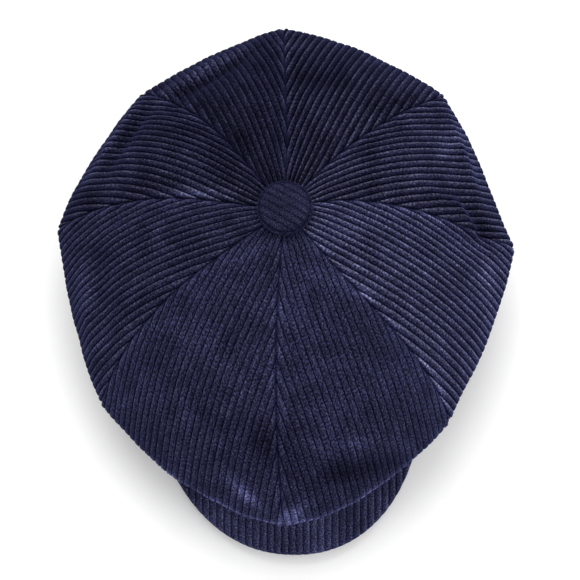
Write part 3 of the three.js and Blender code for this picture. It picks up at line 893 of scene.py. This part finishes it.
def brim_cloth(side, name, node):
    """One of the brim's cloths: side is 1 for the top and -1 for the underside."""
    edge_rolls = np.linspace(0, math.pi / 2, BRIM_EDGE_ROWS + 1)[1:]
    roll = np.concatenate([np.zeros(BRIM_ROWS), edge_rolls])
    out_rows = np.concatenate([np.linspace(0, 1, BRIM_ROWS), np.ones(BRIM_EDGE_ROWS)])
    across, out = np.meshgrid(np.linspace(-1, 1, BRIM_COLUMNS), out_rows)
    turn = np.broadcast_to(roll[:, None], across.shape)
    outward = brim_outward(across)
    points = brim_middle(across, out, BRIM_ROOT_GAP)
    points += outward * (BRIM_EDGE_INSET * (np.sin(turn) - out))[..., None]
    points[..., 2] += side * (BRIM_HALF_STACK * np.cos(turn) + BRIM_STAND_OFF)

    ripple = wale_ripple(points[..., 0], points[..., 1], 90)
    flattened = np.clip(1.15 - turn * 1.8 / math.pi, 0, 1)
    lift = BRIM_WALE_HEIGHT * ripple * (wale_profile(points[..., 0]) - 0.6) * flattened
    normal = outward * np.sin(turn)[..., None]
    normal[..., 2] += side * np.cos(turn)
    points += normal * lift[..., None]

    root = brim_middle(across[:1], out[:1], BRIM_ROOT_GAP - BRIM_ROOT_BULGE)
    points = close_brim_edges(points, outward, root, side, roll)
    nap_and_painted_light = BRIM_NAP + 0.12 * noise2(points[..., 0] / 20 + 9, points[..., 1] / 20 + 19, 33)
    # The tone is painted shade in the grooves and painted light on one flank of each wale
    piece = add_mesh(
        name, points, grid_faces(*points.shape[:2], flip=side < 0), CORDUROY,
        points[..., :2] * BRIM_GRAIN_SCALE / WALE_PITCH,
        {"tone": painted_wale_shading(points[..., 0], SIDE_FLANK_LIGHT), "nap_and_painted_light": nap_and_painted_light},
    )
    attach(piece, "brim")
    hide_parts(node)


# ---- Button ----

BUTTON_RINGS = 64
BUTTON_SPOKES = 192
# The height of the widest place, and the inner radius that the cloth is tucked under to, as shares
BUTTON_WIDEST = 0.4
BUTTON_TUCKED = 0.67
BUTTON_SLANT = math.radians(-30)
BUTTON_WALE_PITCH = 3.9
BUTTON_WALE_HEIGHT = 0.42
BUTTON_TUCK = 0.35
BUTTON_RUMPLE = 0.12
BUTTON_NAP = 0.42
BUTTON_GRAIN_SCALE = 1.6


def button():
    """A domed disc wrapped in corduroy that is pulled flat over it, with its edge turned under."""
    turn = np.linspace(math.pi / 2, -math.pi / 2, BUTTON_RINGS)[:, None]
    around = np.linspace(0, 2 * math.pi, BUTTON_SPOKES, endpoint=False)[None, :]
    level = np.abs(np.cos(turn))
    steepness = np.sin(turn)
    middle = lerp(BUTTON_LOW[2], BUTTON_HIGH[2], BUTTON_WIDEST)
    radius = (BUTTON_HIGH[0] - BUTTON_LOW[0]) / 2
    reach = radius * np.where(turn < 0, lerp(BUTTON_TUCKED, 1, level ** 0.6), level ** 0.8)
    rise = steepness * np.where(turn < 0, middle - BUTTON_LOW[2], BUTTON_HIGH[2] - middle)
    x = reach * np.cos(around)
    y = reach * np.sin(around)
    height = np.broadcast_to(middle + rise, x.shape)

    offset = y * math.cos(BUTTON_SLANT) - x * math.sin(BUTTON_SLANT)
    length = x * math.cos(BUTTON_SLANT) + y * math.sin(BUTTON_SLANT)
    crest = wale_profile(offset, BUTTON_WALE_PITCH)
    top = smooth_step((steepness - 0.3) / 0.4)
    tuck = -BUTTON_TUCK * bell(steepness - 0.42, 0.09)
    rumple = noise2(np.sin(around) * 7 + 20, np.cos(around) * 7 + turn * 3 + 20, 36)
    lift = BUTTON_WALE_HEIGHT * (crest - 0.6) * lerp(0.2, 1, top) + tuck + BUTTON_RUMPLE * rumple
    outward = unit(np.stack([
        np.cos(around) * np.cos(turn), np.sin(around) * np.cos(turn),
        np.broadcast_to(steepness, x.shape),
    ], -1))
    points = np.stack([x + APEX[0], y + APEX[1], height], -1) + outward * lift[..., None]

    # Tone: painted shade in the grooves and in the tucked ring round the dome
    tone = 0.31 + 0.34 * (crest - 0.75) * lerp(0.3, 1, top) + 0.5 * tuck
    nap_and_painted_light = BUTTON_NAP + 0.10 * noise2(x / 5 + 9, y / 5 + 9, 35)
    piece = add_mesh(
        "corduroy_button", points, grid_faces(BUTTON_RINGS, BUTTON_SPOKES, closed=True), CORDUROY,
        np.stack([offset, length], -1) * BUTTON_GRAIN_SCALE / WALE_PITCH,
        {"tone": tone, "nap_and_painted_light": nap_and_painted_light},
    )
    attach(piece, "button")
    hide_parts("button_cover")


# ---- Carried-over CAD pieces ----


def dress_cad_nodes():
    """Materials for the pieces inside, which keep their CAD meshes."""
    felt = solid_texture_material(
        "pressed_felt", (0.55, 0.53, 0.48), (0.72, 0.70, 0.64), 900, roughness=0.9, specular=0.2
    )
    buckram = solid_texture_material(
        "charcoal_buckram", (0.020, 0.021, 0.026), (0.045, 0.046, 0.055), 900, roughness=0.9,
        specular=0.2,
    )
    board = solid_texture_material(
        "visor_board", (0.70, 0.70, 0.68), (0.80, 0.80, 0.78), 300, roughness=0.55, specular=0.4
    )
    steel = solid_texture_material(
        "pressed_steel", (0.42, 0.43, 0.45), (0.58, 0.59, 0.61), 700, roughness=0.35, metallic=1.0
    )
    thread = solid_texture_material(
        "waxed_thread", (0.008, 0.009, 0.018), (0.022, 0.023, 0.040), 2500, roughness=0.6,
        specular=0.4,
    )
    finishes = {
        "apex_patch": felt, "band_stiffener": buckram, "brim_board": board, "button_shell": steel,
        "button_back_plate": steel, "button_shank": steel, "button_thread": thread,
        "maker_label_blank": LABEL_WEAVE, "size_label_blank": LABEL_WEAVE,
    }
    for node, material in finishes.items():
        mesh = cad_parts[node].data
        mesh.materials.clear()
        mesh.materials.append(material)


add_camera()
for light_name, (light_place, light_size, light_power) in LIGHTS.items():
    add_light(light_name, light_place, light_size, light_power)
add_floor()
add_world()
for gore_index in range(len(GORES)):
    crown_gore(gore_index)
    lining_gore(gore_index)
headband()
sweatband()
brim_cloth(1, "corduroy_brim_top", "brim_top_cloth")
brim_cloth(-1, "corduroy_brim_under", "brim_under_cloth")
button()
dress_cad_nodes()
